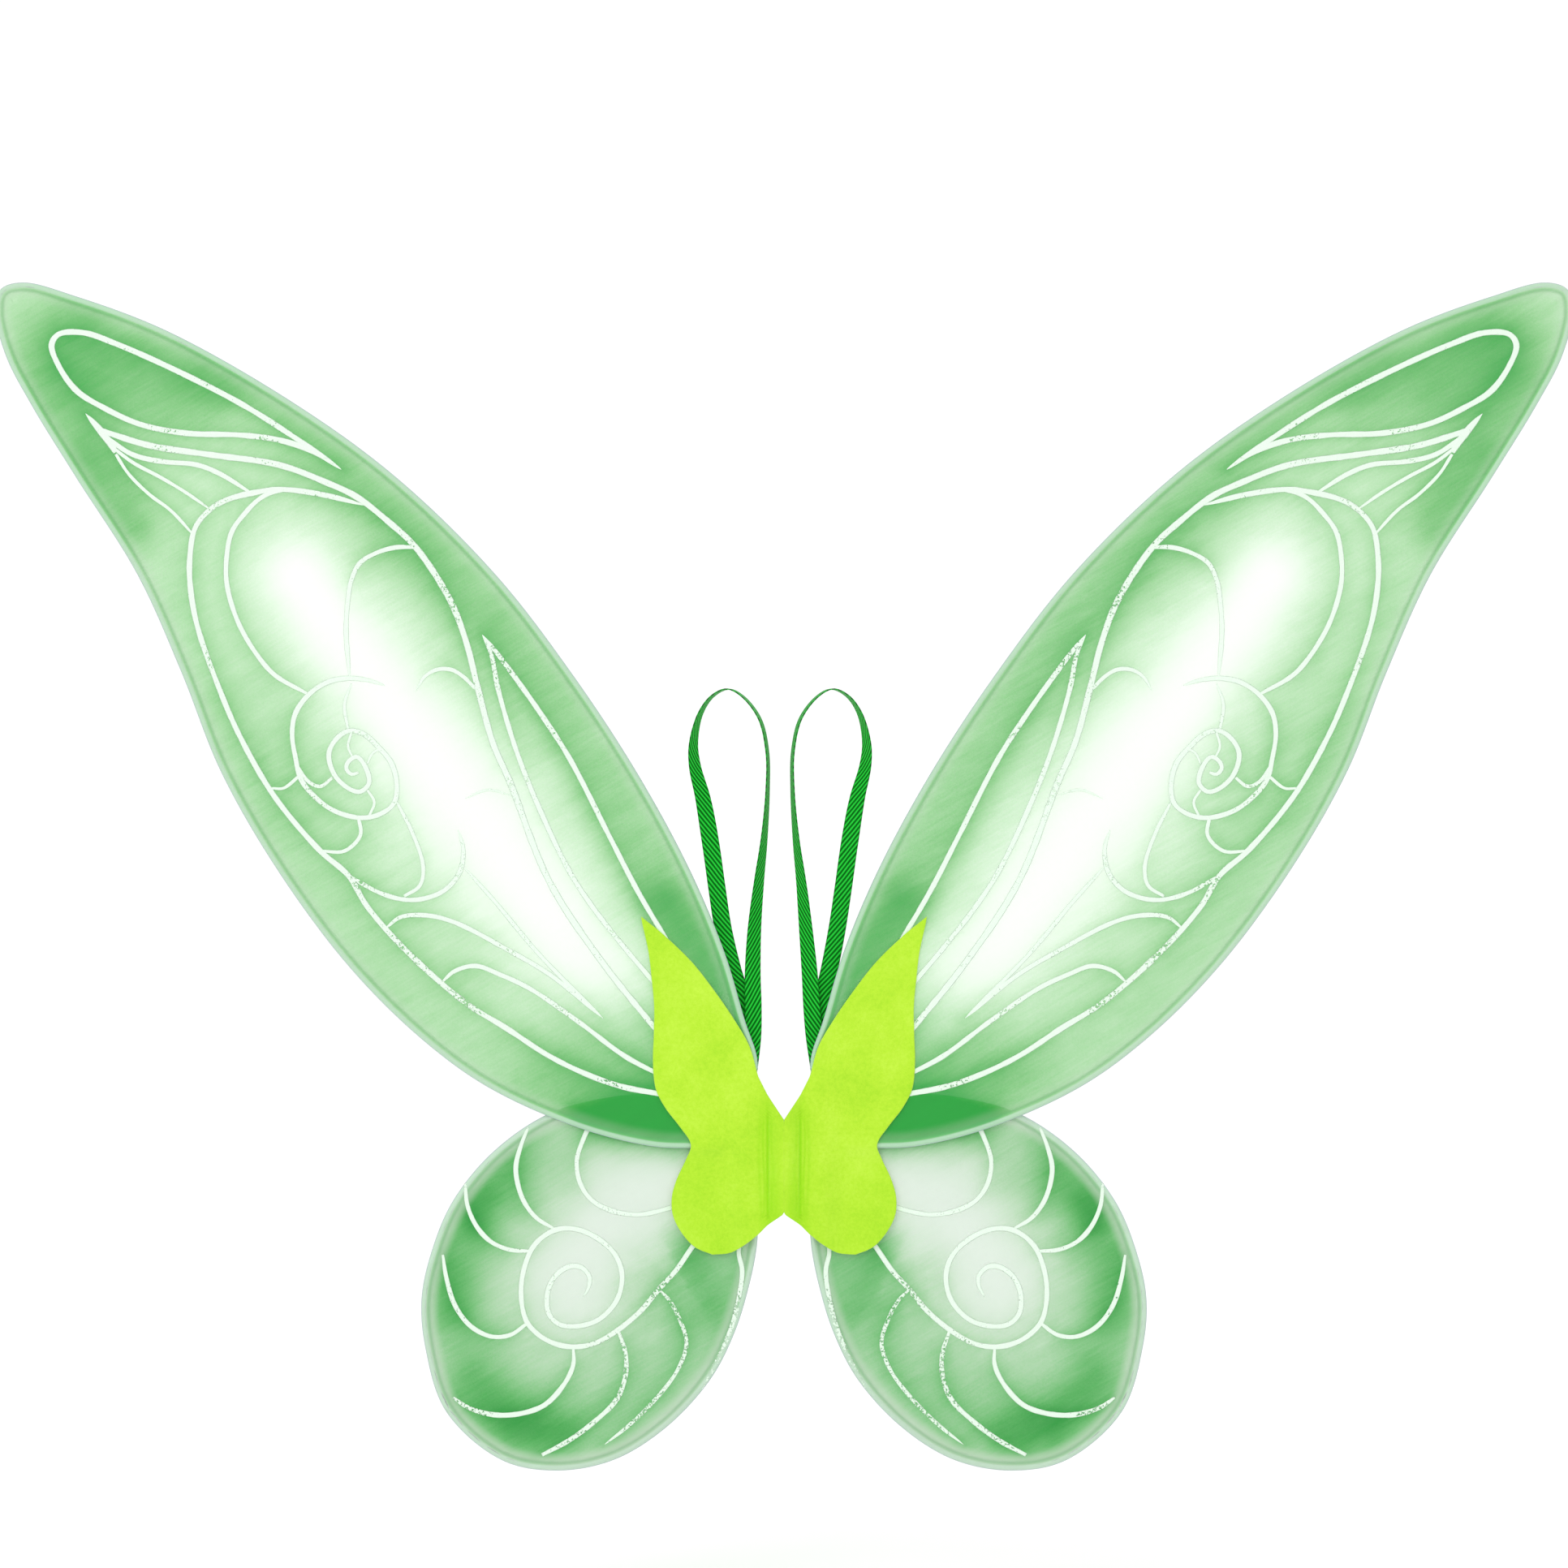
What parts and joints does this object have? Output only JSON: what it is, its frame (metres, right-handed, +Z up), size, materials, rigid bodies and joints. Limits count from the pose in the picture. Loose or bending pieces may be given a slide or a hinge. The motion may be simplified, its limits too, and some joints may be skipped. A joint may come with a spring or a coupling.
{
  "type": "fairy wings",
  "caption": "Costume fairy wings: wire-framed sheer wings held in a felt cover that folds at its creases, with ribbon loops for the arms.",
  "frame": {"origin": "centre of the back pad's middle strip, on the face that meets the wearer's back", "axes": "+Z up as worn, +Y towards the wearer, out of the back pad, +X to the right of someone who looks at the decorated side from behind the wearer"},
  "size_m": [0.899, 0.0321, 0.6794],
  "materials": {
    "lime_felt": "thick brushed felt, lime green",
    "steel_wire": "bright galvanised spring wire",
    "crimp_sleeve": "pressed plain sleeve",
    "binding_tape": "woven cotton tape",
    "upper_sheer_fabric": "sheer double nylon, green fading to white, with white glitter veins",
    "lower_sheer_fabric": "sheer double nylon, grey-white fading to green, with white glitter veins",
    "satin_ribbon": "ribbed satin, deep green"
  },
  "bodies": {
    "spine": {"front_cover_spine": "lime_felt", "spine_core": "lime_felt", "back_pad_spine": "lime_felt"},
    "left_wings": {"left_front_cover": "lime_felt", "left_back_pad": "lime_felt", "left_upper_wire_frame": "steel_wire", "left_upper_membrane": "upper_sheer_fabric", "left_upper_wire_crimp": "crimp_sleeve", "left_lower_wire_frame": "steel_wire", "left_lower_membrane": "lower_sheer_fabric", "left_lower_wire_crimp": "crimp_sleeve", "left_root_binding": "binding_tape", "left_strap_tab": "satin_ribbon"},
    "right_wings": {"right_front_cover": "lime_felt", "right_back_pad": "lime_felt", "right_upper_wire_frame": "steel_wire", "right_upper_membrane": "upper_sheer_fabric", "right_upper_wire_crimp": "crimp_sleeve", "right_lower_wire_frame": "steel_wire", "right_lower_membrane": "lower_sheer_fabric", "right_lower_wire_crimp": "crimp_sleeve", "right_root_binding": "binding_tape", "right_strap_tab": "satin_ribbon"},
    "left_arm_loop": {"left_strap": "satin_ribbon"},
    "right_arm_loop": {"right_strap": "satin_ribbon"}
  },
  "joints": [
    {"name": "left_fold", "type": "hinge", "parent": "spine", "child": "left_wings", "pos_m": [-0.0095, -0.0123, 0], "axis": [0, 0, 1], "range_deg": [0, 85]},
    {"name": "right_fold", "type": "hinge", "parent": "spine", "child": "right_wings", "pos_m": [0.0095, -0.0123, 0], "axis": [0, 0, -1], "range_deg": [0, 85]},
    {"name": "left_loop_swing", "type": "hinge", "parent": "left_wings", "child": "left_arm_loop", "pos_m": [-0.021, -0.00265, 0.0454], "axis": [-1, 0, 0], "range_deg": [0, 110]},
    {"name": "right_loop_swing", "type": "hinge", "parent": "right_wings", "child": "right_arm_loop", "pos_m": [0.021, -0.00265, 0.0454], "axis": [-1, 0, 0], "range_deg": [0, 110]}
  ]
}
